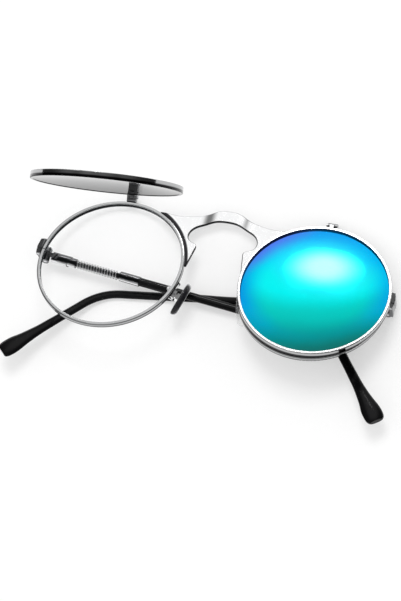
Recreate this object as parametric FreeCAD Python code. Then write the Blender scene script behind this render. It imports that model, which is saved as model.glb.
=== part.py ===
import FreeCAD
import Part
import math
import os

V = FreeCAD.Vector
ORIGIN = V(0, 0, 0)
X_AXIS = V(1, 0, 0)
Y_AXIS = V(0, 1, 0)
Z_AXIS = V(0, 0, 1)
LEFT = -1
RIGHT = 1
SIDES = {"left": LEFT, "right": RIGHT}

# Millimetres and degrees. Each side is drawn in its own frame: x away from the nose, y up the face,
# z out of the front, zero at the middle of the rim. The left side is the mirror of that drawing.

# Front
nose_gap = 20.1            # between the rims
wrap = 2.5                 # each rim looks outward by this
overrun = 1.0              # how far cutting tools stand out
facet_size = 0.055         # fineness of the points that find the floor
solder_gap = 0.02          # soldered faces
running_gap = 0.06         # pins in barrels, radial
side_gap = 0.15            # between knuckles, each side
seat_gap = 0.1             # lens edges in their grooves

# Rims and clear lenses
rim_bore = 24.6            # aperture radius
rim_wall = 1.25
rim_depth = 1.8
rim_round = 0.45
lip_round = 0.15           # rims and rings, round the aperture
groove_depth = 0.5
lens_thickness = 1.1
lens_curve = 220.0         # radius of the lens's front face
slit_width = 0.3           # the rim is split at its lock

# End pieces
lock_height = 2.0          # parting line of the lock, above the rim's middle
block_depth = 2.1
block_slope = 14.0         # the front face falls away from the rim
block_width = 1.8          # past the rim
block_rise = 4.0           # upper block, above the parting line
block_fall = 1.9           # lower block, below it
lock_screw_size = 0.7
lock_head_size = 1.1
lock_head_height = 0.4
lock_screw_share = 0.45    # across the block
lock_shank_share = 0.6     # up the upper block
lock_hole_share = 0.7
arm_thickness = 1.2

# Temple hinges
hinge_inset = 0.45         # pin, inside the edge of the rim
hinge_up = 3.1
hinge_back = 5.05          # pin, behind the rim's middle plane
barrel_radius = 1.3
barrel_length = 5.0
middle_knuckle = 1.8
pin_size = 1.2
pin_head_size = 2.1
pin_head_height = 0.5
pin_slot_width = 0.3
hinge_lean = {LEFT: 0.9, RIGHT: -0.9}      # the pin leans, so that one temple folds over the other
fold_slope = {LEFT: 5.1, RIGHT: 6.8}       # a folded temple falls away from the rims
temple_droop = {LEFT: 6.2, RIGHT: 3.9}     # the temple against the square of its pin

# Temple metal
butt_start = 2.2
butt_length = 4.8
butt_height = 3.5
butt_thickness = 2.6
butt_round = 0.78
neck_thickness = 1.8
flute_depth = 0.35
flute_width = 0.5
flute_count = 3
sleeve_length = 4.0
sleeve_size = 3.3
sleeve_slant = 35.0
core_size = 1.9
core_grip = 9.0            # how far the core wire goes into the tip
core_socket = 2.5          # and into the sleeve
ferrule_length = 7.4
ferrule_size = 3.5
ferrule_lip = 0.25
ferrule_seat = 1.6         # the tip's shoulder inside the ferrule

# Visible coil springs
wire_size = 0.6
coil_size = 3.3            # over the wire
coil_pitch = 1.04
coil_turns = 13.25
coil_end_bend = 0.75       # bend that turns the wire's end square to its seat
steps_per_turn = 4
probe_steps = 24           # points per turn for the gap that is measured

# Ear tips
temple_length = 142.0      # pin to the end, along the legs
left_tip_straight = 105.4  # pin to the corner of the bend
right_tip_straight = 102.0
tip_bend = {LEFT: 46.5, RIGHT: 41.5}
bend_radius = 19.0
tip_start_height = 3.0
tip_start_thickness = 2.9
tip_slim_height = 3.0
tip_slim_thickness = 2.1
paddle_height = 6.7
paddle_thickness = 2.8
core_play = 0.05

# Flip-ups
flip_over = 0.5            # its aperture is wider than the rim's, all round
flip_wall = 1.0
flip_depth = 2.3
flip_lens_back = 0.2       # the lens sits behind the middle of its ring
flip_round = 0.3
flip_gap = 0.5             # rim face to flip ring, closed
flip_rest = {LEFT: 60.5, RIGHT: 1.5}       # how far each stands open as it lies
flip_axis_rise = 1.7       # pin, above the ring
left_flip_shift = 0.0      # ring off the middle of its rim, outward
right_flip_shift = 0.7
left_flip_drop = 0.0       # and down
right_flip_drop = 0.35
flip_axis_out = 1.1
flip_lean = {LEFT: -2.8, RIGHT: 0.0}       # that side's pin sits a little askew
flip_barrel_radius = 1.05
flip_knuckle = 0.8         # each of the base's two
flip_leaf_width = 1.4
flip_pin_size = 0.9
flip_head_size = 1.6
flip_head_height = 0.5
base_depth = 1.5
base_back_share = 0.3      # of the rim's depth
base_cheek_share = 0.3     # of the barrel's radius
base_chin_share = 0.8
base_heel_share = 0.9
leaf_face_share = 0.9

# Bridge
bridge_thickness = 1.2
bridge_front = 1.65        # its wings' face, before the middle of the rims
bridge_crown = 0.9         # the middle stands further out
crown_start = 3.6
crown_end = 9.4
bridge_rise = 0.95         # its top, above the rims
bridge_foot = 3.0
bridge_edge_round = 0.35
lobe_round = 1.2           # the lobes' points beside the nose

# Nose pads
pad_length = 13.0
pad_width = 7.2
pad_thickness = 2.0
left_pad_in = 0.75         # middle of the pad, inside the edge of its rim
right_pad_in = -1.95
pad_down = 7.4
left_pad_back = 4.2
right_pad_back = 4.4
pad_splay = 12.3           # lower ends stand apart
pad_turn = {LEFT: 22.7, RIGHT: 6.0}        # faces look back; the right arm is bent outward
lug_length = 2.4
lug_width = 1.0
lug_stand = 1.9
box_wall = 0.45
box_length = 3.0
pad_arm_wire = 0.9
arm_root_down = 3.4
arm_root_back = 0.3
arm_loop_back = 4.9
left_arm_rise = 1.1        # the arm's loop, above its root
right_arm_rise = 4.2
arm_bend = 0.8
pad_screw_size = 0.7
pad_screw_head = 1.1
pad_screw_head_height = 0.3
screw_length_past = 0.15

rim_outer = rim_bore + rim_wall
half_centres = rim_outer + nose_gap / 2
flip_bore = rim_bore + flip_over
flip_outer = flip_bore + flip_wall
hinge_out = rim_outer - hinge_inset
flip_axis_up = flip_outer + flip_axis_rise
bridge_top = rim_outer + bridge_rise
tip_straight = {LEFT: left_tip_straight, RIGHT: right_tip_straight}
flip_shift = {LEFT: left_flip_shift, RIGHT: right_flip_shift}
flip_drop = {LEFT: left_flip_drop, RIGHT: right_flip_drop}
pad_out = {LEFT: nose_gap / 2 - left_pad_in, RIGHT: nose_gap / 2 - right_pad_in}
pad_back = {LEFT: left_pad_back, RIGHT: right_pad_back}
arm_rise = {LEFT: left_arm_rise, RIGHT: right_arm_rise}
coil_start = butt_start + butt_length + sleeve_length
coil_span = coil_turns * coil_pitch + 2 * (coil_end_bend + wire_size)
ferrule_start = coil_start + coil_span
tip_start = ferrule_start + ferrule_length - ferrule_seat
flip_back_face = rim_depth / 2 + flip_gap
hinge_point = V(hinge_out, hinge_up, -hinge_back)
flip_axis_point = V(0, flip_axis_up, flip_axis_out)


def cylinder(radius, start, direction, length):
    return Part.makeCylinder(radius, length, start, direction)


def block(low, high):
    size = high - low
    return Part.makeBox(size.x, size.y, size.z, low)


def prism(points, direction):
    return Part.Face(Part.makePolygon(points + points[:1])).extrude(direction)


def fuse(shapes):
    whole = shapes[0]
    for shape in shapes[1:]:
        whole = whole.fuse(shape)
    return whole.removeSplitter()


def turned(shape, point, axis, angle):
    copy = shape.copy()
    copy.rotate(point, axis, angle)
    return copy


def moved(shape, step):
    copy = shape.copy()
    copy.translate(step)
    return copy


def to_side(shape, side):
    copy = shape.mirror(ORIGIN, X_AXIS) if side == LEFT else shape.copy()
    copy.rotate(ORIGIN, Y_AXIS, side * wrap)
    copy.translate(V(side * half_centres, 0, 0))
    return copy


def rounded(shape, edges, radius):
    return shape.makeFillet(radius, edges)


def circle_edges(solid):
    return [edge for edge in solid.Edges if isinstance(edge.Curve, Part.Circle)]


def ring(bore, wall, depth, middle, lens_middle, corner):
    outer, low, high = bore + wall, middle - depth / 2, middle + depth / 2
    grip = lens_thickness / 2 + seat_gap
    bottom = bore + groove_depth
    section = [V(bore, 0, low), V(outer, 0, low), V(outer, 0, high), V(bore, 0, high),
               V(bore, 0, lens_middle + grip), V(bottom, 0, lens_middle + grip),
               V(bottom, 0, lens_middle - grip), V(bore, 0, lens_middle - grip)]
    solid = Part.Face(Part.makePolygon(section + section[:1])).revolve(ORIGIN, Z_AXIS, 360)
    solid = rounded(solid, [edge for edge in circle_edges(solid) if edge.Curve.Radius > bottom], corner)
    lips = [edge for edge in circle_edges(solid)
            if edge.Curve.Radius < bottom and abs(edge.Curve.Center.z - middle) > depth / 2 - lip_round]
    return rounded(solid, [edge for edge in lips if edge.Curve.Radius < bore + lip_round], lip_round)


def curved_lens(bore, middle):
    radius = bore + groove_depth - seat_gap
    sag = lens_curve - math.sqrt(lens_curve ** 2 - bore ** 2)
    inner_curve = lens_curve - lens_thickness
    front = middle + lens_thickness / 2 + sag
    centre = front - lens_curve
    edge_front = centre + math.sqrt(lens_curve ** 2 - radius ** 2)
    edge_back = centre + math.sqrt(inner_curve ** 2 - radius ** 2)
    half = radius / 2
    mid_front = V(half, 0, centre + math.sqrt(lens_curve ** 2 - half ** 2))
    mid_back = V(half, 0, centre + math.sqrt(inner_curve ** 2 - half ** 2))
    top, bottom = V(0, 0, front), V(0, 0, front - lens_thickness)
    rim_top, rim_bottom = V(radius, 0, edge_front), V(radius, 0, edge_back)
    outline = Part.Wire([Part.Arc(top, mid_front, rim_top).toShape(),
                         Part.LineSegment(rim_top, rim_bottom).toShape(),
                         Part.Arc(rim_bottom, mid_back, bottom).toShape(),
                         Part.LineSegment(bottom, top).toShape()])
    return Part.Face(outline).revolve(ORIGIN, Z_AXIS, 360)


def rim():
    body = ring(rim_bore, rim_wall, rim_depth, 0, 0, rim_round)
    slit = block(V(rim_bore - overrun, lock_height - slit_width / 2, -rim_depth),
                 V(rim_outer + overrun, lock_height + slit_width / 2, rim_depth))
    return body.cut(slit)


def lock_outline(low, high):
    out = rim_outer + block_width
    inside = rim_bore
    waist_share, foot_share, shoulder_share, widest_share = 0.97, 0.8, 0.7, 0.33
    top, bottom = lock_height + block_rise, lock_height - block_fall
    shape = [V(inside, top, -block_depth / 2),
             V(rim_outer + block_width * shoulder_share, top, -block_depth / 2),
             V(out, lock_height + block_rise * widest_share, -block_depth / 2),
             V(rim_outer + block_width * waist_share, lock_height, -block_depth / 2),
             V(rim_outer + block_width * foot_share, bottom, -block_depth / 2),
             V(inside, bottom, -block_depth / 2)]
    whole = prism(shape, V(0, 0, block_depth))
    drop = (block_width + overrun) * math.tan(math.radians(block_slope))
    slope = prism([V(rim_outer, low - overrun, block_depth / 2),
                   V(out + overrun, low - overrun, block_depth / 2),
                   V(out + overrun, low - overrun, block_depth / 2 - drop)],
                  V(0, high - low + 2 * overrun, 0))
    whole = whole.cut(slope)
    return whole.common(block(V(inside, low, -block_depth), V(out + overrun, high, block_depth)))


def lock_screw_place():
    return rim_outer + block_width * lock_screw_share


def knuckle(low, high):
    return cylinder(barrel_radius, hinge_point + V(0, low, 0), Y_AXIS, high - low)


def hinge_lean_turn(shape, side):
    return turned(shape, hinge_point, X_AXIS, hinge_lean[side])


def pin_hole():
    return cylinder(pin_size / 2 + running_gap, hinge_point - V(0, barrel_length, 0), Y_AXIS,
                    2 * barrel_length)


def end_piece(side):
    upper = lock_outline(lock_height + slit_width / 2, lock_height + block_rise)
    half = barrel_length / 2
    gap = middle_knuckle / 2 + side_gap
    plate_out = hinge_out + barrel_radius + arm_thickness / 2
    plate = block(V(plate_out - arm_thickness, hinge_up - half, -hinge_back),
                  V(plate_out, hinge_up + half, -block_depth / 2))
    foot = block(V(rim_outer, lock_height + slit_width / 2, -block_depth),
                 V(plate_out, hinge_up + half, 0))
    ears = [knuckle(-half, -gap), knuckle(gap, half)]
    for low, high in ((-half, -gap), (gap, half)):
        ears.append(block(V(hinge_out, hinge_up + low, -hinge_back - barrel_radius / 2),
                          V(plate_out, hinge_up + high, -hinge_back + barrel_radius)))
    ears = hinge_lean_turn(fuse(ears), side)
    sweep = cylinder(barrel_radius + side_gap, hinge_point - V(0, gap, 0), Y_AXIS, 2 * gap)
    body = fuse([upper, foot.cut(cylinder(rim_outer + solder_gap, V(0, 0, -rim_depth), Z_AXIS,
                                          2 * rim_depth)), plate, ears])
    body = body.cut(hinge_lean_turn(sweep.fuse(pin_hole()), side))
    body = body.cut(cylinder(rim_outer + solder_gap, V(0, 0, -block_depth), Z_AXIS, 2 * block_depth))
    hole = cylinder(lock_screw_size / 2 + solder_gap, V(lock_screw_place(), 0, 0), Y_AXIS,
                    lock_height + block_rise * lock_hole_share)
    return body.cut(hole)


def lock_block():
    lower = lock_outline(lock_height - block_fall, lock_height - slit_width / 2)
    lower = lower.cut(cylinder(rim_outer + solder_gap, V(0, 0, -block_depth), Z_AXIS, 2 * block_depth))
    bottom = lock_height - block_fall
    bore = cylinder(lock_screw_size / 2 + running_gap, V(lock_screw_place(), bottom - overrun, 0), Y_AXIS,
                    block_fall + overrun)
    sink = cylinder(lock_head_size / 2 + running_gap, V(lock_screw_place(), bottom - overrun, 0), Y_AXIS,
                    overrun + lock_head_height + running_gap)
    behind = block(V(rim_bore, bottom - overrun, -block_depth),
                   V(rim_outer + block_width + overrun, lock_height, -block_depth / 2 + side_gap))
    return lower.cut(bore).cut(sink).cut(behind)


def lock_screw():
    bottom = lock_height - block_fall
    at = V(lock_screw_place(), bottom, 0)
    shank = cylinder(lock_screw_size / 2, at, Y_AXIS, block_fall + block_rise * lock_shank_share)
    head = cylinder(lock_head_size / 2, at, Y_AXIS, lock_head_height)
    return fuse([shank, head])


def hinge_screw(side):
    half = barrel_length / 2
    shank = cylinder(pin_size / 2, hinge_point - V(0, half, 0), Y_AXIS, barrel_length)
    head_at = hinge_point + V(0, half + solder_gap, 0)
    neck = cylinder(pin_size / 2, hinge_point, Y_AXIS, half + solder_gap)
    head = cylinder(pin_head_size / 2, head_at, Y_AXIS, pin_head_height)
    slot_low = head_at + V(-pin_head_size, pin_head_height / 2, -pin_slot_width / 2)
    slot = block(slot_low, slot_low + V(2 * pin_head_size, pin_head_height, pin_slot_width))
    return hinge_lean_turn(fuse([shank, neck, head.cut(slot)]), side)


def biarc(start, start_way, end, end_way):
    step = end - start
    ways = start_way + end_way
    spread = 2 * (1 - start_way.dot(end_way))
    along = step.dot(ways)
    reach = (math.sqrt(along ** 2 + spread * step.dot(step)) - along) / spread
    corners = [start + start_way * reach, end - end_way * reach]
    joint = (corners[0] + corners[1]) / 2
    arcs = []
    for first, corner, last in ((start, corners[0], joint), (joint, corners[1], end)):
        chord_middle = (first + last) / 2
        rise = corner - chord_middle
        half_chord = (last - first).Length / 2
        half_turn = math.acos(half_chord / (corner - first).Length)
        crown = chord_middle + rise * (half_chord * math.tan(half_turn / 2) / rise.Length)
        arcs.append(Part.Arc(first, crown, last))
    return arcs


def helix_place(turns, radius, start):
    angle = 2 * math.pi * turns
    place = V(start + turns * coil_pitch, radius * math.cos(angle), radius * math.sin(angle))
    way = V(coil_pitch, -2 * math.pi * radius * math.sin(angle), 2 * math.pi * radius * math.cos(angle))
    return place, way.normalize()


def coil_knots():
    radius = (coil_size - wire_size) / 2
    start = coil_start + wire_size + coil_end_bend
    steps = int(coil_turns * steps_per_turn)
    knots = [helix_place(step / steps_per_turn, radius, start) for step in range(steps + 1)]
    swing = coil_end_bend / (2 * math.pi * radius)
    lead, _ = helix_place(-swing, radius, start)
    tail, _ = helix_place(coil_turns + swing, radius, start)
    knots.insert(0, (V(coil_start + wire_size, lead.y, lead.z), X_AXIS))
    knots.append((V(ferrule_start - wire_size, tail.y, tail.z), X_AXIS))
    return knots


def temple_spring():
    knots = coil_knots()
    first, last = knots[0][0], knots[-1][0]
    lead, tail = V(coil_start, first.y, first.z), V(ferrule_start, last.y, last.z)
    curves = [Part.LineSegment(lead, first)]
    for (start, start_way), (end, end_way) in zip(knots, knots[1:]):
        curves += biarc(start, start_way, end, end_way)
    curves.append(Part.LineSegment(last, tail))
    path = Part.Wire([curve.toShape() for curve in curves])
    section = Part.Wire([Part.Circle(lead, X_AXIS, wire_size / 2).toShape()])
    tube = Part.BRepOffsetAPI.MakePipeShell(path)
    tube.add(section)
    tube.build()
    tube.makeSolid()
    solid = tube.shape()
    full = math.pi * wire_size ** 2 / 4 * path.Length
    print("spring volume over section times length: %.4f" % (solid.Volume / full))
    print("spring least gap to itself: %.3f mm" % coil_gap(path))
    return solid


def coil_gap(path):
    count = int(coil_turns * probe_steps)
    places = path.discretize(Number=count)
    skip = probe_steps // 2
    least = min((places[i] - places[j]).Length
                for i in range(count) for j in range(i + skip, count))
    return least - wire_size


def temple_butt(side):
    half_length = middle_knuckle / 2
    eye = cylinder(barrel_radius, V(0, -half_length, 0), Y_AXIS, middle_knuckle)
    neck = block(V(0, -half_length, -neck_thickness / 2),
                 V(butt_start + side_gap, half_length, neck_thickness / 2))
    low = V(butt_start, -butt_height / 2, -butt_thickness / 2)
    high = V(butt_start + butt_length, butt_height / 2, butt_thickness / 2)
    body = block(low, high)
    along = [edge for edge in body.Edges
             if abs(edge.Vertexes[0].Point.x - edge.Vertexes[1].Point.x) > butt_length / 2]
    body = rounded(body, along, butt_round)
    for index in range(flute_count):
        place = butt_start + butt_length * (index + 1) / (flute_count + 1)
        for face in (-1, 1):
            edge = face * butt_thickness / 2
            groove = prism([V(place - flute_width / 2, -butt_height, edge),
                            V(place + flute_width / 2, -butt_height, edge),
                            V(place, -butt_height, edge - face * flute_depth)], V(0, 2 * butt_height, 0))
            body = body.cut(turned(groove, V(place, 0, 0), Z_AXIS, -sleeve_slant / 2))
    sleeve = cylinder(sleeve_size / 2, V(butt_start + butt_length / 2, 0, 0), X_AXIS,
                      butt_length / 2 + sleeve_length)
    collar_end = butt_start + butt_length + sleeve_length / 2
    collar = cylinder(sleeve_size / 2 + ferrule_lip, V(butt_start + butt_length / 2, 0, 0), X_AXIS,
                      butt_length / 2 + sleeve_length / 2)
    slant = prism([V(collar_end, -butt_height, -butt_height), V(collar_end, butt_height, -butt_height),
                   V(collar_end + butt_height, butt_height, -butt_height),
                   V(collar_end + butt_height, -butt_height, -butt_height)], V(0, 0, 2 * butt_height))
    collar = collar.cut(turned(slant, V(collar_end - sleeve_length / 4, 0, 0), Z_AXIS, -sleeve_slant))
    rod_part = fuse([body, sleeve, collar])
    socket = cylinder(core_size / 2 + solder_gap, V(coil_start - core_socket, 0, 0), X_AXIS,
                      core_socket + overrun)
    rod_part = rod_part.cut(socket)
    rod_part = turned(rod_part, ORIGIN, Z_AXIS, -temple_droop[side])
    clear = cylinder(barrel_radius + side_gap, V(0, -barrel_length, 0), Y_AXIS, 2 * barrel_length)
    whole = fuse([eye, neck, rod_part.cut(clear)])
    hole = cylinder(pin_size / 2 + running_gap, V(0, -barrel_length, 0), Y_AXIS, 2 * barrel_length)
    return whole.cut(hole)


def core_wire():
    start = coil_start - core_socket
    return cylinder(core_size / 2, V(start, 0, 0), X_AXIS, tip_start + core_grip - start)


def temple_ferrule():
    body = cylinder(ferrule_size / 2, V(ferrule_start, 0, 0), X_AXIS, ferrule_length)
    body = rounded(body, circle_edges(body), ferrule_lip)
    bore = cylinder(core_size / 2 + core_play, V(ferrule_start - overrun, 0, 0), X_AXIS,
                    ferrule_length + 2 * overrun)
    seat = tip_section(tip_start, core_play).extrude(V(ferrule_seat + overrun, 0, 0))
    return body.cut(bore).cut(seat)


def tip_section(place, grow):
    high = Part.Ellipse(V(place, 0, 0), tip_start_height / 2 + grow, tip_start_thickness / 2 + grow)
    wire = Part.Wire([high.toShape()])
    wire.rotate(V(place, 0, 0), Z_AXIS, 90)
    wire.rotate(V(place, 0, 0), Y_AXIS, 90)
    return Part.Face(wire)


def tip_line(distance, side):
    bend = math.radians(tip_bend[side])
    straight = tip_straight[side] - bend_radius * math.tan(bend / 2)
    angle = min(max(distance - straight, 0) / bend_radius, bend)
    past = max(distance - straight - bend_radius * bend, 0)
    start = V(min(distance, straight), 0, 0)
    curved = V(bend_radius * math.sin(angle), bend_radius * (math.cos(angle) - 1), 0)
    return start + curved + V(math.cos(angle), -math.sin(angle), 0) * past, angle


def tip_length(side):
    bend = math.radians(tip_bend[side])
    return temple_length - bend_radius * (2 * math.tan(bend / 2) - bend)


# Along the tip: share of its length, then how far its height and thickness go from slim to paddle.
tip_size_shares = [(0.3, 0.0, 0.0), (0.6, 0.02, 0.0), (0.78, 0.06, 0.0), (0.86, 0.16, 0.1),
                   (0.905, 0.46, 0.5), (0.945, 0.88, 0.9), (0.968, 1.0, 1.0), (0.985, 0.94, 0.75),
                   (0.995, 0.74, 0.3), (1.0, 0.45, -0.2)]
tip_steps = 22


def tip_shares_at(along_share):
    for (low, *first), (high, *last) in zip(tip_size_shares, tip_size_shares[1:]):
        if low <= along_share <= high:
            blend = (along_share - low) / (high - low)
            return [a + (b - a) * blend for a, b in zip(first, last)]
    return tip_size_shares[0][1:]


def temple_tip(side):
    length = tip_length(side)
    gripped = (tip_start, tip_start + core_grip / 2, tip_start + core_grip + core_play)
    stations = [(place, tip_start_height, tip_start_thickness) for place in gripped]
    first_share = tip_size_shares[0][0]
    even = [first_share + (1 - first_share) * step / tip_steps for step in range(tip_steps)]
    for along_share in even + [row[0] for row in tip_size_shares[-2:]]:
        height_share, thickness_share = tip_shares_at(along_share)
        stations.append((tip_start + (length - tip_start) * along_share,
                         tip_slim_height + (paddle_height - tip_slim_height) * height_share,
                         tip_slim_thickness + (paddle_thickness - tip_slim_thickness) * thickness_share))
    wires = []
    for distance, height, thickness in stations:
        place, heading = tip_line(distance, side)
        wire = Part.Wire([Part.Ellipse(ORIGIN, height / 2, thickness / 2).toShape()])
        wire.rotate(ORIGIN, Z_AXIS, 90)
        wire.rotate(ORIGIN, Y_AXIS, 90)
        wire.rotate(ORIGIN, Z_AXIS, -math.degrees(heading))
        wire.translate(place)
        wires.append(wire)
    body = Part.makeLoft(wires, True, False)
    bore = cylinder(core_size / 2 + core_play, V(tip_start - overrun, 0, 0), X_AXIS,
                    core_grip + core_play + overrun)
    return body.cut(bore)


def temple_place(shape, side, along_rod):
    copy = turned(shape, ORIGIN, Z_AXIS, -temple_droop[side]) if along_rod else shape.copy()
    copy.rotate(ORIGIN, Y_AXIS, 180 - fold_slope[side])
    copy.rotate(ORIGIN, X_AXIS, hinge_lean[side])
    copy.translate(hinge_point)
    return to_side(copy, side)


def flip_axis(side):
    lean = math.radians(flip_lean[side])
    return V(math.cos(lean), math.sin(lean), 0)


def flip_leaned(shape, side):
    return turned(shape, flip_axis_point, Z_AXIS, flip_lean[side])


def flip_open(shape, side):
    return turned(shape, flip_axis_point, flip_axis(side), -flip_rest[side])


def flip_half_width():
    return flip_leaf_width / 2 + side_gap + flip_knuckle


def flip_base(side):
    half = flip_half_width()
    back, top = -rim_depth * base_back_share, flip_axis_up
    cheek, chin = flip_barrel_radius * base_cheek_share, flip_barrel_radius * base_chin_share
    heel = flip_barrel_radius * base_heel_share
    front = flip_back_face - side_gap
    side_view = [V(-half, rim_bore, back), V(-half, rim_bore, front), V(-half, flip_outer, front),
                 V(-half, top - cheek, flip_axis_out + chin), V(-half, top, flip_axis_out),
                 V(-half, top, flip_axis_out - heel), V(-half, flip_outer + cheek, back)]
    post = prism(side_view, V(2 * half, 0, 0))
    barrel = cylinder(flip_barrel_radius, flip_axis_point - V(half, 0, 0), X_AXIS, 2 * half)
    middle = flip_leaf_width / 2 + side_gap
    room = cylinder(flip_barrel_radius + side_gap, flip_axis_point - V(middle, 0, 0), X_AXIS, 2 * middle)
    mouth = block(V(-middle, flip_outer - flip_wall, flip_back_face + flip_round - side_gap),
                  V(middle, flip_axis_up, flip_axis_out + flip_depth))
    hole = cylinder(flip_pin_size / 2 + solder_gap, flip_axis_point - V(2 * half, 0, 0), X_AXIS, 4 * half)
    body = flip_leaned(fuse([post, barrel]).cut(room).cut(mouth).cut(hole), side)
    rim_room = cylinder(rim_outer + solder_gap, V(0, 0, -base_depth), Z_AXIS, 2 * rim_depth + base_depth)
    return body.cut(rim_room)


def flip_pin(side):
    half = flip_half_width()
    shank = cylinder(flip_pin_size / 2, flip_axis_point - V(half, 0, 0), X_AXIS, 2 * half + solder_gap)
    head = cylinder(flip_head_size / 2, flip_axis_point - V(half + solder_gap, 0, 0), -X_AXIS,
                    flip_head_height)
    neck = cylinder(flip_pin_size / 2, flip_axis_point - V(half + solder_gap, 0, 0), X_AXIS, half)
    return flip_leaned(fuse([shank, neck, head]), side)


def flip_leaf(side):
    half = flip_leaf_width / 2
    eye = cylinder(flip_barrel_radius, flip_axis_point - V(half, 0, 0), X_AXIS, flip_leaf_width)
    front = flip_back_face + flip_depth
    side_view = [V(-half, flip_bore, flip_back_face + flip_round), V(-half, flip_bore, front - flip_round),
                 V(-half, flip_outer + flip_wall, front - flip_round),
                 V(-half, flip_axis_up, flip_axis_out + flip_barrel_radius * leaf_face_share),
                 V(-half, flip_axis_up, flip_axis_out),
                 V(-half, flip_axis_up - flip_barrel_radius, flip_back_face + flip_round)]
    web = prism(side_view, V(flip_leaf_width, 0, 0))
    hole = cylinder(flip_pin_size / 2 + running_gap, flip_axis_point - V(2 * half, 0, 0), X_AXIS, 4 * half)
    body = flip_leaned(fuse([eye, web]).cut(hole), side)
    ring_room = cylinder(flip_outer + solder_gap, ORIGIN, Z_AXIS, flip_back_face + 2 * flip_depth)
    return body.cut(flip_off(ring_room, side))


def flip_middle():
    return flip_back_face + flip_depth / 2


def flip_off(shape, side):
    return moved(shape, V(flip_shift[side], -flip_drop[side], 0))


def flip_ring(side):
    whole = ring(flip_bore, flip_wall, flip_depth, flip_middle(), flip_middle() - flip_lens_back, flip_round)
    return flip_off(whole, side)


def flip_lens(side):
    return flip_off(curved_lens(flip_bore, flip_middle() - flip_lens_back), side)


# Half of the bridge's outline. From the top middle to the wing's tip: shares of the tip's way across and
# of the top up. The tip and the keyhole: shares of the way from the nose line to the rim, and of the top.
bridge_crest_shares = [(0.15, 0.985), (0.27, 0.94), (0.42, 0.895), (0.62, 0.855), (0.82, 0.845)]
bridge_keyhole_shares = [(0.67, 0.4), (0.684, 0.455), (0.793, 0.485), (0.822, 0.545),
                         (0.698, 0.645), (0.527, 0.72), (0.328, 0.775), (0.151, 0.82)]
bridge_arch_share = 0.832
bridge_tip_shares = (0.922, 0.862)
bridge_foot_share = 0.942


def rim_edge(up):
    return half_centres - math.sqrt(rim_outer ** 2 - up ** 2)


def keyed_point(across_share, up_share):
    height = bridge_top * up_share
    return V(rim_edge(height) * across_share, height, 0)


def other_half(points):
    return [V(-point.x, point.y, 0) for point in reversed(points)]


def smooth_edge(points):
    curve = Part.BSplineCurve()
    curve.interpolate(points)
    return curve.toShape()


def straight_edges(points):
    return [Part.LineSegment(first, last).toShape() for first, last in zip(points, points[1:])]


# Closed curve of the plate, seen from the front, reaching behind the rims that cut it.
def bridge_outline():
    wing_tip = keyed_point(*bridge_tip_shares)
    crest = [V(wing_tip.x * across, bridge_top * up, 0) for across, up in bridge_crest_shares] + [wing_tip]
    key = [keyed_point(across, up) for across, up in bridge_keyhole_shares]
    foot = V(rim_edge(bridge_foot) * bridge_foot_share, bridge_foot, 0)
    sides = [wing_tip, V(half_centres, wing_tip.y, 0), V(half_centres, bridge_foot, 0), foot, key[0]]
    edges = [smooth_edge(other_half(crest) + [V(0, bridge_top, 0)] + crest),
             smooth_edge(key + [V(0, bridge_top * bridge_arch_share, 0)] + other_half(key))]
    edges += straight_edges(sides) + straight_edges(other_half(sides))
    return Part.Face(Part.Wire(Part.__sortEdges__(edges)))


def crowned_slab():
    run, rise = crown_end - crown_start, bridge_crown
    middle_run = (crown_start + crown_end) / 2
    radius = (run ** 2 + rise ** 2) / (4 * rise)
    quarter = run / 4
    fall = radius - math.sqrt(radius ** 2 - quarter ** 2)

    def edge_curve(face):
        high, low = face + rise, face
        near = [V(crown_start, 0, high), V(crown_start + quarter, 0, high - fall),
                V(middle_run, 0, (high + low) / 2)]
        far = [near[2], V(crown_end - quarter, 0, low + fall), V(crown_end, 0, low)]
        flat = V(half_centres, 0, low)
        half = [Part.LineSegment(V(0, 0, high), near[0]), Part.Arc(*near), Part.Arc(*far),
                Part.LineSegment(far[2], flat)]
        return [curve.toShape() for curve in half], V(0, 0, high), flat

    front, front_start, front_end = edge_curve(bridge_front)
    back, back_start, back_end = edge_curve(bridge_front - bridge_thickness)
    edges = front + back + [Part.LineSegment(front_start, back_start).toShape(),
                            Part.LineSegment(front_end, back_end).toShape()]
    half_slab = Part.Face(Part.Wire(Part.__sortEdges__(edges))).extrude(V(0, bridge_top + overrun, 0))
    return half_slab.fuse(half_slab.mirror(ORIGIN, X_AXIS)).removeSplitter()


# Edges of the crest, the keyhole and the lobes, without the plate's creases, corners and joints to the rims.
def outline_edges(plate):
    found = []
    for edge in plate.Edges:
        first, last = edge.Vertexes[0].Point, edge.Vertexes[-1].Point
        middle = edge.valueAt((edge.FirstParameter + edge.LastParameter) / 2)
        crease = isinstance(edge.Curve, Part.Line) and abs(first.x - last.x) < solder_gap
        beside_rim = math.hypot(half_centres - abs(middle.x), middle.y) < rim_outer + bridge_edge_round
        at_foot = abs(middle.y - bridge_foot) < solder_gap
        at_corner = math.hypot(first.x - last.x, first.y - last.y) < bridge_edge_round
        if not (crease or beside_rim or at_foot or at_corner):
            found.append(edge)
    return found


def lobe_edges(plate):
    point = keyed_point(*bridge_keyhole_shares[0])

    def at_point(vertex):
        return math.hypot(abs(vertex.X) - point.x, vertex.Y - point.y) < solder_gap

    return [edge for edge in plate.Edges if all(at_point(vertex) for vertex in edge.Vertexes)]


def bridge():
    depth = bridge_front + bridge_crown + overrun
    plate = bridge_outline().extrude(V(0, 0, depth)).common(crowned_slab())
    for side in SIDES.values():
        cut = cylinder(rim_outer + solder_gap, V(0, 0, -half_centres), Z_AXIS, 2 * half_centres)
        plate = plate.cut(to_side(cut, side))
    plate = plate.removeSplitter()
    plate = rounded(plate, lobe_edges(plate), lobe_round)
    return rounded(plate, outline_edges(plate), bridge_edge_round)


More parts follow.
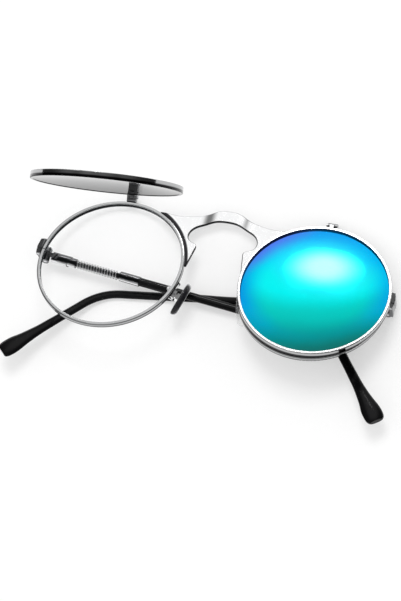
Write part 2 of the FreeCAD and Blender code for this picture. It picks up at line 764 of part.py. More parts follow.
# From the pad's own frame, x to the nose, y up its length and z to the front, to the right-hand side.
def pad_frame(shape, side):
    copy = turned(shape, ORIGIN, Y_AXIS, -pad_turn[side])
    copy.rotate(ORIGIN, Z_AXIS, pad_splay)
    copy.translate(V(pad_out[side], -pad_down, -pad_back[side]))
    return copy


def mirrored(shape, side):
    return shape.mirror(ORIGIN, X_AXIS) if side == LEFT else shape


# Through the pad, from its nose side: share of the thickness, then of its length and width.
pad_size_shares = [(0.0, 0.78), (0.35, 1.0), (0.7, 0.96), (1.0, 0.7)]


def nose_pad():
    wires = []
    for along_share, size_share in pad_size_shares:
        wire = Part.Wire([Part.Ellipse(ORIGIN, pad_length * size_share / 2,
                                       pad_width * size_share / 2).toShape()])
        wire.rotate(ORIGIN, Z_AXIS, 90)
        wire.rotate(ORIGIN, Y_AXIS, 90)
        wire.translate(V(pad_thickness / 2 - pad_thickness * along_share, 0, 0))
        wires.append(wire)
    body = Part.makeLoft(wires, True, False)
    return body.cut(lug_root())


def lug_root():
    half = lug_length / 2
    return block(V(0, -half, -lug_width), V(pad_thickness, half, lug_width))


def lug_eye_place():
    return V(pad_thickness / 2 + lug_stand, 0, 0)


def pad_lug():
    half = lug_length / 2
    root = block(V(solder_gap, -half + solder_gap, -lug_width + solder_gap),
                 V(pad_thickness, half - solder_gap, lug_width - solder_gap))
    stem = block(V(pad_thickness / 2, -half / 2, -lug_width / 2),
                 V(pad_thickness / 2 + lug_stand, half / 2, lug_width / 2))
    eye = cylinder(half / 2 + box_wall / 2, lug_eye_place() - V(0, 0, lug_width / 2), Z_AXIS, lug_width)
    hole = cylinder(pad_screw_size / 2 + running_gap, lug_eye_place() - V(0, 0, lug_width), Z_AXIS,
                    2 * lug_width)
    return fuse([root, stem, eye]).cut(hole)


def pad_box():
    eye = lug_eye_place()
    reach = lug_length / 4 + box_wall / 2 + side_gap
    depth = lug_width / 2 + side_gap + box_wall
    outer = block(eye + V(-reach / 2, -box_length / 2, -depth),
                  eye + V(reach + box_wall, box_length / 2, depth))
    room = block(eye + V(-reach - overrun, -box_length, -lug_width / 2 - side_gap),
                 eye + V(reach, box_length, lug_width / 2 + side_gap))
    hole = cylinder(pad_screw_size / 2 + solder_gap, eye - V(0, 0, 2 * depth), Z_AXIS, 4 * depth)
    return outer.cut(room).cut(hole)


def pad_screw():
    eye = lug_eye_place()
    depth = lug_width / 2 + side_gap + box_wall
    shank = cylinder(pad_screw_size / 2, eye - V(0, 0, depth + solder_gap), Z_AXIS,
                     2 * depth + screw_length_past)
    head = cylinder(pad_screw_head / 2, eye - V(0, 0, depth + solder_gap), -Z_AXIS, pad_screw_head_height)
    return fuse([shank, head])


def rounded_route(points, radius):
    edges, last = [], points[0]
    for before, corner, after in zip(points, points[1:], points[2:]):
        back = (before - corner).normalize()
        onward = (after - corner).normalize()
        half_angle = math.acos(back.dot(onward)) / 2
        reach = radius / math.tan(half_angle)
        first, final = corner + back * reach, corner + onward * reach
        bisector = (back + onward).normalize()
        crown = corner + bisector * (radius / math.sin(half_angle) - radius)
        edges += [Part.LineSegment(last, first).toShape(), Part.Arc(first, crown, final).toShape()]
        last = final
    return Part.Wire(edges + [Part.LineSegment(last, points[-1]).toShape()])


def pad_arm(side):
    box = pad_frame(pad_box(), side)
    eye = lug_eye_place()
    seat = eye + V(lug_length / 4 + box_wall / 2 + side_gap + box_wall / 2, 0, 0)
    marker = pad_frame(Part.Vertex(seat), side).Point
    away = pad_frame(Part.Vertex(seat + V(2 * pad_arm_wire, 0, 0)), side).Point
    root_across = half_centres - math.sqrt((rim_outer - rim_wall / 2) ** 2 - arm_root_down ** 2)
    root = V(root_across, -arm_root_down, arm_root_back)
    route = [root, V(root.x, -arm_root_down + arm_rise[side], -arm_loop_back / 2),
             V((root.x + away.x) / 2, -arm_root_down + arm_rise[side] / 2, -arm_loop_back),
             V(away.x, (away.y - arm_root_down) / 2, away.z), marker]
    path = rounded_route(route, arm_bend)
    start_way = (route[1] - route[0]).normalize()
    section = Part.Wire([Part.Circle(route[0], start_way, pad_arm_wire / 2).toShape()])
    tube = Part.BRepOffsetAPI.MakePipeShell(path)
    tube.add(section)
    tube.build()
    tube.makeSolid()
    rim_room = to_side(cylinder(rim_outer + overrun, V(0, 0, -rim_depth / 2), Z_AXIS, rim_depth), RIGHT)
    room = block(eye + V(-box_length, -box_length, -lug_width / 2 - side_gap),
                 eye + V(lug_length / 4 + box_wall / 2 + side_gap, box_length, lug_width / 2 + side_gap))
    wire = tube.shape().cut(rim_room).cut(pad_frame(room, side))
    return fuse([box, wire])


def make_nodes():
    nodes, spring = {}, temple_spring()
    core, ferrule = core_wire(), temple_ferrule()
    lock_screws, pad_screws = [], []
    for name, side in SIDES.items():
        fixed = {"rim": rim(), "clear_lens": curved_lens(rim_bore, 0), "end_piece": end_piece(side),
                 "lock_block": lock_block(), "hinge_screw": hinge_screw(side), "flip_base": flip_base(side),
                 "flip_pin": flip_pin(side)}
        for piece, shape in fixed.items():
            nodes[name + "_" + piece] = to_side(shape, side)
        lock_screws.append(to_side(lock_screw(), side))
        nodes[name + "_pad_arm"] = mirrored(pad_arm(side), side)
        pad_screws.append(mirrored(pad_frame(pad_screw(), side), side))
        nodes[name + "_nose_pad"] = mirrored(pad_frame(nose_pad(), side), side)
        nodes[name + "_pad_lug"] = mirrored(pad_frame(pad_lug(), side), side)
        flip = {"ring": flip_ring(side), "lens": flip_lens(side), "leaf": flip_leaf(side)}
        for piece, shape in flip.items():
            nodes[name + "_flip_" + piece] = to_side(flip_open(shape, side), side)
        nodes[name + "_temple_arm"] = temple_place(temple_butt(side), side, False)
        rod = {"core": core, "spring": spring, "ferrule": ferrule, "tip": temple_tip(side)}
        for piece, shape in rod.items():
            nodes[name + "_temple_" + piece] = temple_place(shape, side, True)
    nodes["bridge"] = bridge()
    nodes["rim_lock_screws"] = Part.makeCompound(lock_screws)
    nodes["pad_screws"] = Part.makeCompound(pad_screws)
    return nodes


# The three pieces it stands on, lying on its folded temples.
standing_pieces = ("right_rim", "right_end_piece", "right_temple_tip")
settle_rounds = 12
first_lean = 20.0          # degrees, the guess that the settling starts from


def surface_points(shape):
    return shape.tessellate(facet_size)[0]


def floor_direction(nodes):
    clouds = [surface_points(nodes[name]) for name in standing_pieces]
    lean = math.radians(first_lean)
    down = V(0, math.sin(lean), -math.cos(lean))
    for _ in range(settle_rounds):
        feet = [max(cloud, key=lambda point: point.dot(down)) for cloud in clouds]
        normal = (feet[1] - feet[0]).cross(feet[2] - feet[0]).normalize()
        down = -normal if normal.z > 0 else normal
    return down


def laid_down(nodes):
    down = floor_direction(nodes)
    turn = FreeCAD.Rotation(down, -Z_AXIS)
    angle = math.degrees(turn.Angle)
    print("lies turned by %.3f degrees about %.4f %.4f %.4f" % (angle, *turn.Axis))
    laid = {name: turned(shape, ORIGIN, turn.Axis, angle) for name, shape in nodes.items()}
    box = Part.makeCompound(list(laid.values())).optimalBoundingBox(False)
    drop = V(-(box.XMin + box.XMax) / 2, -(box.YMin + box.YMax) / 2, -box.ZMin)
    print("then moved by %.4f %.4f %.4f" % tuple(drop))
    return {name: moved(shape, drop) for name, shape in laid.items()}


def export(nodes):
    os.makedirs("parts", exist_ok=True)
    for name, shape in sorted(nodes.items()):
        shape.exportStep(os.path.join("parts", name + ".step"))
        print("%-22s solids %d volume %9.3f valid %s" % (name, len(shape.Solids), shape.Volume,
                                                          shape.isValid()))


export(laid_down(make_nodes()))
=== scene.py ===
import math
import bpy
from mathutils import Matrix, Vector


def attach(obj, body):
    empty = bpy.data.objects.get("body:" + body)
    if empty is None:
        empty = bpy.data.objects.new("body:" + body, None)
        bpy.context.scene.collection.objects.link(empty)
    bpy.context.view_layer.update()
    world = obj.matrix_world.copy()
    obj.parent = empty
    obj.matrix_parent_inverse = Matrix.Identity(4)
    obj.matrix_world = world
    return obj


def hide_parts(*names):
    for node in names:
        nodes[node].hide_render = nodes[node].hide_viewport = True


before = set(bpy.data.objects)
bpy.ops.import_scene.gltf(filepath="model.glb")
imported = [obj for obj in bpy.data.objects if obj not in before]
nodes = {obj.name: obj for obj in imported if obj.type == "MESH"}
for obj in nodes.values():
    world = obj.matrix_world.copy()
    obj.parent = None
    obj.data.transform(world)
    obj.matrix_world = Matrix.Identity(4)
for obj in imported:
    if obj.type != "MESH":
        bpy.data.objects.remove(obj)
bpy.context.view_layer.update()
scene = bpy.context.scene
print("frame loaded:", len(nodes), "nodes")


# One output of a node. Sums and products of sockets add Math nodes.
class Socket:
    def __init__(self, graph, plug):
        self.graph = graph
        self.plug = plug

    def joined(self, operation, first, second):
        return self.graph.add("ShaderNodeMath", {"operation": operation}, {0: first, 1: second})

    def __add__(self, other):
        return self.joined("ADD", self, other)

    def __radd__(self, other):
        return self.joined("ADD", other, self)

    def __sub__(self, other):
        return self.joined("SUBTRACT", self, other)

    def __rsub__(self, other):
        return self.joined("SUBTRACT", other, self)

    def __mul__(self, other):
        return self.joined("MULTIPLY", self, other)

    def __rmul__(self, other):
        return self.joined("MULTIPLY", other, self)

    def __truediv__(self, other):
        return self.joined("DIVIDE", self, other)

    def __rtruediv__(self, other):
        return self.joined("DIVIDE", other, self)

    def __pow__(self, other):
        return self.joined("POWER", self, other)

    def __rpow__(self, other):
        return self.joined("POWER", other, self)

    def __abs__(self):
        return self.graph.add("ShaderNodeMath", {"operation": "ABSOLUTE"}, {0: self})

    def most(self, other):
        return self.joined("MAXIMUM", self, other)


def colour(rgb):
    return (rgb[0], rgb[1], rgb[2], 1.0)


class Graph:
    def __init__(self, tree):
        tree.nodes.clear()
        self.tree = tree

    # Settings go on first, because they decide which sockets a node has
    def add(self, kind, settings=None, values=None, output=0):
        node = self.tree.nodes.new(kind)
        for key, value in (settings or {}).items():
            setattr(node, key, value)
        for key, value in (values or {}).items():
            if isinstance(value, Socket):
                self.tree.links.new(value.plug, node.inputs[key])
            else:
                node.inputs[key].default_value = value
        return Socket(self, node.outputs[output]) if node.outputs else None

    def vector(self, operation, values, output=0):
        return self.add("ShaderNodeVectorMath", {"operation": operation}, values, output)

    # How far coords reach along an axis from an origin
    def along(self, coords, axis, origin=(0.0, 0.0, 0.0)):
        return self.vector("DOT_PRODUCT", {0: self.vector("SUBTRACT", {0: coords, 1: origin}), 1: axis}, 1)

    def spread(self, value, low, high, to=(0, 1)):
        return self.add("ShaderNodeMapRange", {"interpolation_type": "SMOOTHSTEP"},
                        {"Value": value, "From Min": low, "From Max": high, "To Min": to[0], "To Max": to[1]})

    def mix(self, factor, first, second):
        first, second = (end if isinstance(end, Socket) else colour(end) for end in (first, second))
        return self.add("ShaderNodeMix", {"data_type": "RGBA"}, {0: factor, 6: first, 7: second}, 2)

    # Tones that follow one another as the value rises, each with the span in which it comes in
    def bands(self, value, first, steps):
        tone = first
        for tint, low, high in steps:
            tone = self.mix(self.spread(value, low, high), tone, tint)
        return tone

    def noise(self, coords, scale, detail):
        return self.add("ShaderNodeTexNoise", None, {"Vector": coords, "Scale": scale, "Detail": detail})

    def normals(self):
        return self.add("ShaderNodeTexCoord", None, None, "Normal")

    def roughness(self, value, look):
        return self.spread(value, *look["roughSpan"], look["rough"])

    def bump(self, height, look, normal=None):
        strength, depth = look["bump"]
        values = {"Height": height, "Strength": strength, "Distance": depth}
        if normal:
            values["Normal"] = normal
        return self.add("ShaderNodeBump", None, values)

    def surface(self, values):
        shader = self.add("ShaderNodeBsdfPrincipled", None, values)
        self.add("ShaderNodeOutputMaterial", None, {"Surface": shader})


def newMaterial(name):
    material = bpy.data.materials.new(name)
    material.use_nodes = True
    graph = Graph(material.node_tree)
    return material, graph, graph.add("ShaderNodeTexCoord", None, None, "Object")


# Metals are clouds of a dull and a bright tone, with a fine grain
chromeLook = {"dull": (0.88, 0.885, 0.89), "bright": (0.97, 0.972, 0.975),
              "side": (0.03, 0.03, 0.032), "rearShade": (0.03, 0.03, 0.032),  # painted shade on flanks before and behind the middle
              "oneFace": False,  # True polishes the front, and the back takes the painted flank shade
              "faces": (0.45, 0.92),  # slope at which the painted flank shade ends and a polished face starts
              "rearShadeDepth": (-0.0004, 0.0001),  # depth at which the painted shade behind gives way to the flank's painted shade
              "gapShade": (0.0266, 0.0271),  # painted shadow beside a rim, for the gap there, by distance from the rim's axis
              "cloudScale": 260.0, "cloudDetail": 4.0, "cloudShare": 0.7,
              "grainScale": 5200.0, "grainDetail": 2.0, "grainStretch": (1.0, 0.18, 1.0),
              "roughShare": 0.5, "roughSpan": (0.3, 0.7), "rough": (0.045, 0.13), "bump": (0.05, 0.00003)}
# The bridge keeps polish only where it faces nearly front: its sloping edges take the near-black flank tone as a
# painted dark outline, and it carries the painted shadow beside the left rim
bridgeLook = dict(chromeLook, faces=(0.82, 0.985))
# Rims: a darker grey copy of the polish, painted for the shade a round polished wire shows, and painted near
# black on the flank behind the middle
rimLook = dict(chromeLook, dull=(0.42, 0.425, 0.43), bright=(0.66, 0.665, 0.67), side=(0.42, 0.425, 0.43),
               rough=(0.06, 0.12), bump=(0.008, 0.00003))
# Flip rings: grey painted shade on the flanks and near-black painted shade on the rear flank, for the gap behind
# the ring; the back takes the flank shade too
ringLook = dict(chromeLook, side=(0.46, 0.463, 0.468), rearShade=(0.012, 0.012, 0.013), oneFace=True)
hingeLook = dict(chromeLook, dull=(0.10, 0.10, 0.105), bright=(0.32, 0.325, 0.33), rough=(0.08, 0.2))
wireLook = dict(chromeLook, dull=(0.55, 0.55, 0.555), bright=(0.92, 0.925, 0.93), rough=(0.06, 0.14))
# The core inside each coil is painted near black, as shade between the turns
coilShadeLook = dict(chromeLook, dull=(0.006, 0.006, 0.0065), bright=(0.025, 0.025, 0.026), rough=(0.2, 0.35))
screwLook = dict(chromeLook, dull=(0.50, 0.50, 0.52), bright=(0.76, 0.76, 0.77), rough=(0.14, 0.30))


# With a front, flanks get painted shade, darkest behind the middle for the gap there. With a rim, a painted
# shadow line runs beside it, for the gap between.
def metal(name, look, middle=None, front=None, rim=None):
    material, graph, coords = newMaterial(name)
    cloud = graph.noise(coords, look["cloudScale"], look["cloudDetail"])
    strokes = graph.add("ShaderNodeMapping", None, {"Vector": coords, "Scale": look["grainStretch"]})
    grain = graph.noise(strokes, look["grainScale"], look["grainDetail"])
    share, roughShare = look["cloudShare"], look["roughShare"]
    tone = graph.mix(cloud * share + grain * (1 - share), look["dull"], look["bright"])
    if front:
        facing = graph.along(graph.normals(), front)
        if not look["oneFace"]:
            facing = abs(facing)
        depth = graph.along(coords, front, middle)
        # Painted shade: flanks darken, and go near black behind the middle
        flankShade = graph.mix(graph.spread(depth, *look["rearShadeDepth"]), look["rearShade"], look["side"])
        tone = graph.mix(graph.spread(facing, *look["faces"]), flankShade, tone)
    if rim:
        centre, axis = rim
        spoke = graph.vector("CROSS_PRODUCT", {0: graph.vector("SUBTRACT", {0: coords, 1: centre}), 1: axis})
        away = graph.vector("LENGTH", {0: spoke}, 1)
        # Painted shadow: a dark band at a set distance from the rim's axis, for the gap beside the rim
        tone = graph.mix(graph.spread(away, *look["gapShade"]), look["rearShade"], tone)
    graph.surface({"Metallic": 1.0, "Base Color": tone, "Normal": graph.bump(grain, look),
                   "Roughness": graph.roughness(cloud * roughShare + grain * (1 - roughShare), look)})
    return material


# Centre, then the ways outward, upward and frontward
flipFrames = {"left": ((-0.03549, 0.02951, 0.03144), (-0.99821, -0.04672, -0.03745),
                       (0.02931, 0.16418, -0.98600), (-0.05221, 0.98532, 0.16252)),
              "right": ((0.03829, 0.00656, 0.01296), (0.99690, -0.02122, -0.07577),
                        (-0.00825, 0.92944, -0.36889), (0.07825, 0.36837, 0.92638))}
# Centre and the way frontward
rimFrames = {"left": ((-0.03442, 0.00617, 0.01234), (-0.00875, 0.34446, 0.93876)),
             "right": ((0.03733, 0.00573, 0.00983), (0.07844, 0.34392, 0.93572))}
bridgeFrame = ((0.0, 0.0, 0.0), (0.0349, 0.3445, 0.9381))
chrome = metal("polishedMetal", chromeLook)
bridgeMetal = metal("bridgeMetal", bridgeLook, *bridgeFrame, rimFrames["left"])
rimMetals = {side: metal(side + "RimMetal", rimLook, *rimFrames[side]) for side in rimFrames}
ringMetals = {side: metal(side + "RingMetal", ringLook, place[0], place[3]) for side, place in flipFrames.items()}
hingeSteel = metal("hingeSteel", hingeLook)
wire = metal("springWire", wireLook)
coilShadeSteel = metal("coilShadeSteel", coilShadeLook)
screwSteel = metal("screwSteel", screwLook)

# Temple metal: painted reflection in bands round the arm, set by which way the surface faces, from its lower side
# to its upper side
templeLook = {"under": (0.80, 0.80, 0.81), "dark": ((0.008, 0.008, 0.009), -0.90, -0.68),
              "grey": ((0.20, 0.20, 0.205), -0.25, 0.35), "light": ((0.62, 0.62, 0.63), 0.60, 0.90),
              "cloudScale": 420.0, "cloudDetail": 4.0, "waver": 0.16,
              "roughSpan": (0.3, 0.7), "rough": (0.06, 0.16), "bump": (0.05, 0.00003)}
# Start of the arm, then the ways along it and upward
templeFrames = {"left": ((-0.05979, 0.00712, 0.00637), (0.99161, -0.12234, -0.04180),
                         (0.10135, 0.93632, -0.33621)),
                "right": ((0.06224, 0.00636, 0.00211), (-0.99634, -0.08482, -0.01039),
                          (-0.07537, 0.92963, -0.36071))}


def templeMetal(side):
    look = templeLook
    material, graph, coords = newMaterial(side + "TempleMetal")
    cloud = graph.noise(coords, look["cloudScale"], look["cloudDetail"])
    # Painted reflection: the tone follows how far the surface faces upward
    level = graph.along(graph.normals(), templeFrames[side][2]) + cloud * look["waver"] - look["waver"] / 2
    tone = graph.bands(level, look["under"], [look[name] for name in ("dark", "grey", "light")])
    graph.surface({"Metallic": 1.0, "Base Color": tone, "Roughness": graph.roughness(cloud, look),
                   "Normal": graph.bump(cloud, look)})
    return material


templeMetals = {side: templeMetal(side) for side in templeFrames}

# Black ear tips
tipLook = {"deep": (0.001, 0.001, 0.0012), "lifted": (0.004, 0.004, 0.0045), "index": 1.45, "gloss": 0.2,
           "cloudScale": 180.0, "cloudDetail": 4.0, "cloudShare": 0.6, "grainScale": 3200.0, "grainDetail": 3.0,
           "roughSpan": (0.3, 0.7), "rough": (0.09, 0.16), "bump": (0.02, 0.00003)}


def blackPlastic(name, look):
    material, graph, coords = newMaterial(name)
    cloud = graph.noise(coords, look["cloudScale"], look["cloudDetail"])
    grain = graph.noise(coords, look["grainScale"], look["grainDetail"])
    share = look["cloudShare"]
    graph.surface({"IOR": look["index"], "Specular IOR Level": look["gloss"],
                   "Base Color": graph.mix(cloud, look["deep"], look["lifted"]),
                   "Roughness": graph.roughness(cloud * share + grain * (1 - share), look),
                   "Normal": graph.bump(grain, look)})
    return material


earTip = blackPlastic("earTip", tipLook)

# Clear lenses and pads: tint and cover change towards their outline as the surface turns from the camera, a
# painted sheen; the near pad's black middle and pale rim are painted reflection
clearLook = {"tint": (0.45, 0.50, 0.52), "edge": (0.50, 0.60, 0.62), "edgeSpan": (0.25, 0.95), "blend": 0.35,
             "alpha": (0.002, 0.3), "alphaSpan": (0.15, 1.0), "waver": 0.04, "index": 1.5, "gloss": 0.06,
             "smearScale": 90.0, "smearDetail": 5.0,
             "roughSpan": (0.35, 0.75), "rough": (0.02, 0.10), "bump": (0.02, 0.0001)}
padLook = dict(clearLook, tint=(0.01, 0.01, 0.012), edge=(0.80, 0.81, 0.82), edgeSpan=(0.30, 0.62),
               alpha=(0.92, 0.75), gloss=0.5, smearScale=420.0)
farPadLook = dict(clearLook, tint=(0.90, 0.91, 0.92), edge=(0.70, 0.71, 0.72),
                  alpha=(0.06, 0.35), gloss=0.3, smearScale=420.0)


def clearPlastic(name, look):
    material, graph, coords = newMaterial(name)
    facing = graph.add("ShaderNodeLayerWeight", None, {"Blend": look["blend"]}, "Facing")
    smear = graph.noise(coords, look["smearScale"], look["smearDetail"])
    graph.surface({"IOR": look["index"], "Specular IOR Level": look["gloss"],
                   # Painted sheen and reflection: colour set by how squarely the surface faces the camera
                   "Base Color": graph.mix(graph.spread(facing, *look["edgeSpan"]), look["tint"], look["edge"]),
                   "Roughness": graph.roughness(smear, look),
                   "Alpha": graph.spread(facing + smear * look["waver"], *look["alphaSpan"], look["alpha"]),
                   "Normal": graph.bump(smear, look)})
    return material


clearLens = clearPlastic("clearLens", clearLook)
pads = {"left": clearPlastic("leftPadPlastic", padLook), "right": clearPlastic("rightPadPlastic", farPadLook)}

# Mirrored lenses: a cyan-blue mirror coat, with painted reflection over it: bands from green at the cheek through
# cyan to blue at the brow, a darker azure edge and a violet corner. Places on the lens are shares of its radius.
mirrorLook = {"radius": 0.0255, "curve": 0.2182, "back": (0.03, 0.03, 0.032), "turn": (-0.1, 0.1),
              "cheek": (0.005, 0.16, 0.14), "teal": ((0.0, 0.27, 0.27), -1.02, -0.78),
              "sea": ((0.0, 0.58, 0.52), -0.86, -0.40), "cyan": ((0.0, 0.88, 0.88), -0.46, -0.06),
              "sky": ((0.0, 0.74, 0.98), 0.0, 0.5), "brow": ((0.02, 0.42, 0.98), 0.5, 1.0),
              "slant": 0.2, "bow": 0.3,  # how the painted reflection bands lean and bend
              # pale: a partly painted highlight, the coat paler where the lamp's reflection falls
              "pale": (0.034, 0.80, 0.98), "highlightAt": (0.04, 0.38), "highlightReach": (0.05, 0.62), "highlightFlat": 0.55,
              "azure": (0.0, 0.33, 0.86), "edgeReach": (0.62, 1.03), "edgeLevel": (-0.9, -0.4),
              "edgeAcross": (-0.9, 0.9), "edgeShare": (0.95, 0.75),  # of the painted azure edge, nose side to ear side
              "violet": (0.09, 0.17, 0.86), "cornerWay": (-0.75, 0.65), "cornerReach": (0.66, 1.02),
              "coat": 0.02, "coatIndex": 2.0, "coatRough": 0.02,
              "smearScale": 70.0, "smearDetail": 4.0, "waver": 0.10,
              "roughSpan": (-0.03, 0.03), "rough": (0.03, 0.08), "bump": (0.02, 0.0001)}


def mirrorLens(side):
    look = mirrorLook
    centre, outward, upward, frontward = flipFrames[side]
    material, graph, coords = newMaterial(side + "MirrorCoat")
    across = graph.along(coords, outward, centre) / look["radius"]
    up = graph.along(coords, upward, centre) / look["radius"]
    away = (across * across + up * up) ** 0.5
    smear = graph.noise(coords, look["smearScale"], look["smearDetail"]) * look["waver"] - look["waver"] / 2
    level = up - across * look["slant"] - across * across * look["bow"] + smear
    # Painted reflection: bands of colour from the cheek to the brow
    tone = graph.bands(level, look["cheek"], [look[name] for name in ("teal", "sea", "cyan", "sky", "brow")])
    # Partly painted highlight: a paler patch of coat under the lamp's reflection
    aside, above = across - look["highlightAt"][0], up - look["highlightAt"][1]
    distance = (aside * aside * look["highlightFlat"] + above * above) ** 0.5
    tone = graph.mix(graph.spread(distance, *look["highlightReach"], (1, 0)), tone, look["pale"])
    # Painted reflection: a darker azure towards the lower edges
    edge = graph.spread(away + smear, *look["edgeReach"]) * graph.spread(level, *look["edgeLevel"])
    edge = edge * graph.spread(across, *look["edgeAcross"], look["edgeShare"])
    tone = graph.mix(edge, tone, look["azure"])
    # Painted reflection: violet in the upper corner by the nose
    corner = across * look["cornerWay"][0] + up * look["cornerWay"][1] + smear
    tone = graph.mix(graph.spread(corner, *look["cornerReach"]), tone, look["violet"])
    front = graph.spread(graph.along(graph.normals(), frontward), *look["turn"])
    # An even ball's normal, because the lens is part of one
    middle = tuple(Vector(centre) - Vector(frontward) * look["curve"])
    ball = graph.vector("NORMALIZE", {0: graph.vector("SUBTRACT", {0: coords, 1: middle})})
    ball = graph.vector("SCALE", {0: ball, "Scale": front * 2 - 1})
    toWorld = {"vector_type": "NORMAL", "convert_from": "OBJECT", "convert_to": "WORLD"}
    ball = graph.add("ShaderNodeVectorTransform", toWorld, {0: ball})
    graph.surface({"Metallic": 1.0, "Coat Weight": look["coat"], "Coat IOR": look["coatIndex"],
                   "Coat Roughness": look["coatRough"], "Base Color": graph.mix(front, look["back"], tone),
                   "Roughness": graph.roughness(smear, look), "Normal": graph.bump(smear, look, ball)})
    return material


mirrors = {side: mirrorLens(side) for side in flipFrames}
print("materials made")

finishes = {"bridge": bridgeMetal, "clear_lens": clearLens, "end_piece": hingeSteel, "lock_block": hingeSteel,
            "flip_base": hingeSteel, "flip_leaf": hingeSteel, "temple_core": coilShadeSteel, "temple_spring": wire,
            "temple_tip": earTip, "screw": screwSteel, "pin": screwSteel}
sideFinishes = {"_rim": rimMetals, "_nose_pad": pads, "_flip_lens": mirrors, "_flip_ring": ringMetals,
                "_temple_arm": templeMetals, "_temple_ferrule": templeMetals}
for side in flipFrames:
    finishes.update({side + piece: materials[side] for piece, materials in sideFinishes.items()})
for name, node in nodes.items():
    chosen = [material for piece, material in finishes.items() if piece in name]
    node.data.materials.clear()
    node.data.materials.append(chosen[-1] if chosen else chrome)

for side in flipFrames:
    nodes[side + "_clear_lens"].visible_shadow = False  # light goes through
    for name in (side + "_clear_lens", side + "_flip_lens"):
        nodes[name].modifiers.new("evenNormals", "WEIGHTED_NORMAL").keep_sharp = True
# The raised flip keeps its shade off the table, and itself out of the bridge's polish
for node in (nodes["left_flip_lens"], nodes["left_flip_ring"]):
    node.visible_glossy = False
    node.visible_shadow = False
    node.visible_diffuse = False
print("nodes dressed")

# Coil springs, with every turn that shows
coil = {"start": 0.0110, "end": 0.02748, "straight": 0.0006, "turns": 15, "radius": 0.00135, "wire": 0.0003,
        "steps": 30, "sides": 12}


def coilPoint(share, origin, along, up, side):
    low, high = coil["start"] + coil["straight"], coil["end"] - coil["straight"]
    angle = 2 * math.pi * coil["turns"] * share
    spoke = up * math.cos(angle) + side * math.sin(angle)
    return origin + along * (low + (high - low) * share) + spoke * coil["radius"]


def tube(name, points, radius, sides):
    verts, faces = [], []
    normal = None
    for index, point in enumerate(points):
        ahead = points[min(index + 1, len(points) - 1)] - points[max(index - 1, 0)]
        ahead.normalize()
        if normal is None:
            normal = ahead.orthogonal().normalized()
        normal = (normal - ahead * normal.dot(ahead)).normalized()
        across = ahead.cross(normal)
        for step in range(sides):
            angle = 2 * math.pi * step / sides
            verts.append(point + (normal * math.cos(angle) + across * math.sin(angle)) * radius)
    for index in range(len(points) - 1):
        for step in range(sides):
            here, after = index * sides + step, index * sides + (step + 1) % sides
            faces.append((here, after, after + sides, here + sides))
    ends = [tuple(reversed(range(sides))), tuple(range(len(verts) - sides, len(verts)))]
    smooth = [True] * len(faces) + [False] * len(ends)
    mesh = bpy.data.meshes.new(name)
    mesh.from_pydata([tuple(vert) for vert in verts], [], faces + ends)
    mesh.polygons.foreach_set("use_smooth", smooth)
    piece = bpy.data.objects.new(name, mesh)
    scene.collection.objects.link(piece)
    return piece


def spring(side):
    origin, along, up = (Vector(value) for value in templeFrames[side])
    sideways = along.cross(up).normalized()
    count = coil["turns"] * coil["steps"]
    points = [coilPoint(step / count, origin, along, up, sideways) for step in range(count + 1)]
    piece = tube(side + "_coil", points, coil["wire"], coil["sides"])
    piece.data.materials.append(wire)
    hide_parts(side + "_temple_spring")
    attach(piece, side + "_temple")


for side in templeFrames:
    spring(side)
print("springs wound")

# Paper floor, which glows a little where it is seen, so that it is white and keeps its shadows
paperLook = {"sheet": (0.95, 0.95, 0.95), "fibre": (0.98, 0.98, 0.98), "fibreScale": 600.0, "fibreDetail": 4.0,
             "rough": 0.9, "gloss": 0.1, "glow": 0.4, "size": 1.2}
white = (1.0, 1.0, 1.0)


def makeFloor():
    look = paperLook
    half = look["size"] / 2
    mesh = bpy.data.meshes.new("floor")
    mesh.from_pydata([(-half, -half, 0), (half, -half, 0), (half, half, 0), (-half, half, 0)], [], [(0, 1, 2, 3)])
    floor = bpy.data.objects.new("floor", mesh)
    scene.collection.objects.link(floor)
    material, graph, coords = newMaterial("paper")
    fibre = graph.noise(coords, look["fibreScale"], look["fibreDetail"])
    paper = graph.add("ShaderNodeBsdfPrincipled", None,
                      {"Base Color": graph.mix(fibre, look["sheet"], look["fibre"]),
                       "Roughness": look["rough"], "Specular IOR Level": look["gloss"]})
    camera, glossy, through = (graph.add("ShaderNodeLightPath", None, None, ray)
                               for ray in ("Is Camera Ray", "Is Glossy Ray", "Is Transmission Ray"))
    seen = camera.most(glossy).most(through)
    glow = graph.add("ShaderNodeEmission", None, {"Color": colour(white), "Strength": 1.0})
    both = graph.add("ShaderNodeMixShader", None, {0: seen * look["glow"], 1: paper, 2: glow})
    graph.add("ShaderNodeOutputMaterial", None, {"Surface": both})
    mesh.materials.append(material)


# What polish shows: a window behind the glasses with a lamp in it, a pale door opposite, and a dark room
studio = {"way": (-0.112, 0.858, 0.501), "room": 0.03, "window": 0.80, "across": (0.14, 0.52),
          "wall": 0.18, "wide": (0.60, 0.98), "rise": (0.36, 1.05), "ahead": (0.0, 0.2),
          "lamp": 14.0, "lampAcross": 0.100, "lampRise": 0.074, "lampReach": (0.3, 1.2), "lampAhead": (0.5, 0.6),
          "door": 0.40, "doorWay": (0.0, -0.94, 0.34), "doorReach": (0.35, 0.85),
          "fill": (0.92, 0.55), "fillWay": (0.0, 1.0, 0.0), "fillReach": (0.05, 0.6)}  # light on dull surfaces


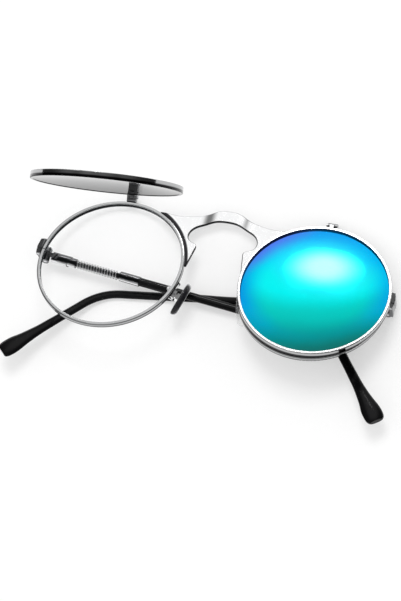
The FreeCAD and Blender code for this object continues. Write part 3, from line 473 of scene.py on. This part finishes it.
def makeWorld():
    world = bpy.data.worlds.new("studio")
    scene.world = world
    world.use_nodes = True
    graph = Graph(world.node_tree)
    direction = graph.add("ShaderNodeTexCoord", None, None, "Generated")
    way = Vector(studio["way"]).normalized()
    right = way.cross(Vector((0, 0, 1))).normalized()
    ahead, across, up = (graph.along(direction, tuple(axis)) for axis in (way, right, right.cross(way)))
    across, up = abs(across), abs(up)
    window = (1 - graph.spread(across, *studio["across"])) * studio["window"]
    window = window + (1 - graph.spread(across, *studio["wide"])) * studio["wall"]
    window = window * (1 - graph.spread(up, *studio["rise"])) * graph.spread(ahead, *studio["ahead"])
    reach = ((across / studio["lampAcross"]) ** 2 + (up / studio["lampRise"]) ** 2) ** 0.5
    lamp = graph.spread(reach, *studio["lampReach"], (1, 0)) * graph.spread(ahead, *studio["lampAhead"])
    door = graph.spread(graph.along(direction, studio["doorWay"]), *studio["doorReach"]) * studio["door"]
    shown = window + door + lamp * studio["lamp"] + studio["room"]
    light = graph.spread(graph.along(direction, studio["fillWay"]), *studio["fillReach"], studio["fill"])
    camera, glossy = (graph.add("ShaderNodeLightPath", None, None, ray)
                      for ray in ("Is Camera Ray", "Is Glossy Ray"))
    strength = camera + (1 - camera) * (glossy * shown + (1 - glossy) * light)
    background = graph.add("ShaderNodeBackground", None, {"Color": colour(white), "Strength": strength})
    graph.add("ShaderNodeOutputWorld", None, {"Surface": background})


keyLamp = {"from": (0.06, 0.38, 1.0), "target": (0.0, 0.0, 0.01), "distance": 1.3, "size": 0.45, "power": 5.5}


def makeLamp():
    data = bpy.data.lights.new("key", "AREA")
    data.shape = "RECTANGLE"
    data.size = data.size_y = keyLamp["size"]
    data.energy = keyLamp["power"]
    lamp = bpy.data.objects.new("key", data)
    way = Vector(keyLamp["from"]).normalized()
    lamp.location = Vector(keyLamp["target"]) + way * keyLamp["distance"]
    lamp.rotation_euler = way.to_track_quat("Z", "Y").to_euler()
    lamp.visible_glossy = False  # polish shows the studio's own lamp
    scene.collection.objects.link(lamp)


view = {"right": (0.95018, 0.19674, -0.24178), "up": (-0.13718, 0.96038, 0.24242),
        "back": (0.27983, -0.19723, 0.93962), "place": (0.30338, -0.21620, 1.03216),
        "lens": 191.7, "sensor": 36.0, "near": 0.05, "far": 20.0}


def makeCamera():
    data = bpy.data.cameras.new("camera")
    data.lens = view["lens"]
    data.sensor_width = view["sensor"]
    data.sensor_fit = "AUTO"
    data.clip_start, data.clip_end = view["near"], view["far"]
    camera = bpy.data.objects.new("camera", data)
    columns = [view[key] for key in ("right", "up", "back", "place")]
    camera.matrix_world = Matrix([[column[row] for column in columns] for row in range(3)] + [[0, 0, 0, 1]])
    scene.collection.objects.link(camera)
    bpy.context.scene.camera = camera


makeFloor()
makeWorld()
makeLamp()
makeCamera()
bpy.context.scene.view_settings.view_transform = "Standard"
print("stage set")
